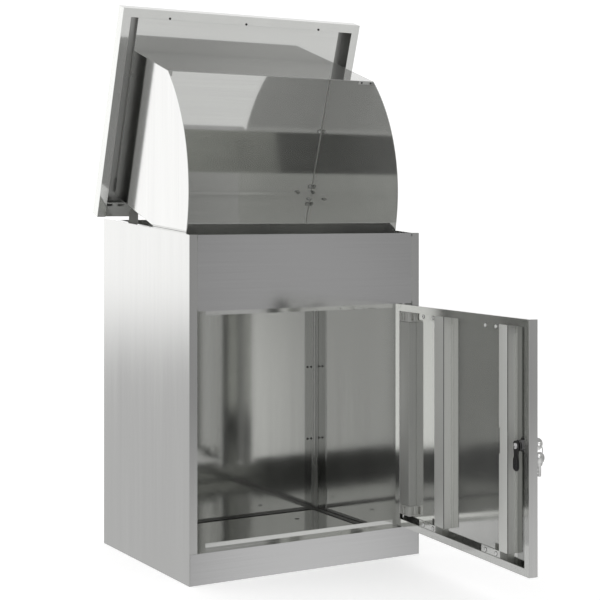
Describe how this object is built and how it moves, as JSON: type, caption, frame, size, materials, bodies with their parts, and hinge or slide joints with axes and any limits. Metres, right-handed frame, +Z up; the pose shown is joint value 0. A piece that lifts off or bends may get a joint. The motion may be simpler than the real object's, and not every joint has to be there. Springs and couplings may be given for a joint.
{
  "type": "parcel drop box",
  "caption": "Sheet-steel parcel drop box: cabinet with a locking front service door and an overhead lid that carries an open-fronted tipping hopper.",
  "frame": {"origin": "centre of the cabinet's base, on the ground", "axes": "+X to the right seen from the front, +Y towards the back, +Z up"},
  "size_m": [0.476, 0.747, 0.946],
  "materials": {
    "outer_steel": "brushed",
    "inner_steel": "mill",
    "bright_metal": "plated",
    "black_metal": "satin",
    "rubber": "matte"
  },
  "bodies": {
    "cabinet": {"left_wall": "outer_steel", "right_wall": "outer_steel", "back_panel": "inner_steel", "corner_angles": "inner_steel", "floor_pan": "inner_steel", "floor_rail": "inner_steel", "floor_border": "rubber", "wall_rivets": "black_metal", "plinth_panel": "outer_steel", "header_panel": "outer_steel", "door_pin_upper": "bright_metal", "door_pin_lower": "bright_metal", "lid_hinge_base_left": "inner_steel", "lid_hinge_base_right": "inner_steel", "lid_hinge_pin_left": "bright_metal", "lid_hinge_pin_right": "bright_metal", "hinge_screws": "bright_metal"},
    "lid": {"lid_pan": "outer_steel", "lid_bumpers": "rubber", "lid_hinge_leaf_left": "inner_steel", "lid_hinge_leaf_right": "inner_steel", "hopper_back": "inner_steel", "hopper_spacers": "inner_steel", "hopper_left_side": "outer_steel", "hopper_right_side": "outer_steel", "hopper_top": "inner_steel", "hopper_floor": "inner_steel", "hopper_bolts": "bright_metal", "hopper_rivets": "black_metal"},
    "door": {"door_pan": "outer_steel", "hinge_channel": "inner_steel", "hinge_block_upper": "inner_steel", "hinge_block_lower": "inner_steel", "stiffener_inner": "inner_steel", "stiffener_outer": "inner_steel", "door_screws": "bright_metal", "lock_housing": "black_metal", "lock_nut": "black_metal"},
    "lock": {"lock_plug": "bright_metal", "lock_cam": "black_metal", "cam_screw": "bright_metal", "key": "bright_metal"},
    "ring": {"key_ring": "bright_metal"},
    "loose_key": {"spare_key": "bright_metal"}
  },
  "joints": [
    {"name": "lid_hinge", "type": "hinge", "parent": "cabinet", "child": "lid", "pos_m": [0, 0.1745, 0.6], "axis": [1, 0, 0], "range_deg": [0, 75.6]},
    {"name": "door_hinge", "type": "hinge", "parent": "cabinet", "child": "door", "pos_m": [0.1924, -0.1682, 0.24], "axis": [0, 0, -1], "range_deg": [-20, 84.6]},
    {"name": "lock_turn", "type": "hinge", "parent": "door", "child": "lock", "pos_m": [0.16366, -0.53603, 0.2435], "axis": [-0.9956, 0.0941, 0], "range_deg": [0, 90]},
    {"name": "ring_swing", "type": "hinge", "parent": "lock", "child": "ring", "pos_m": [0.18506, -0.53805, 0.2435], "axis": [-0.0941, -0.9956, 0], "range_deg": [-12, 40]},
    {"name": "spare_key_swing", "type": "hinge", "parent": "ring", "child": "loose_key", "pos_m": [0.18506, -0.53805, 0.2255], "axis": [-0.0941, -0.9956, 0], "range_deg": [-12, 40]}
  ]
}
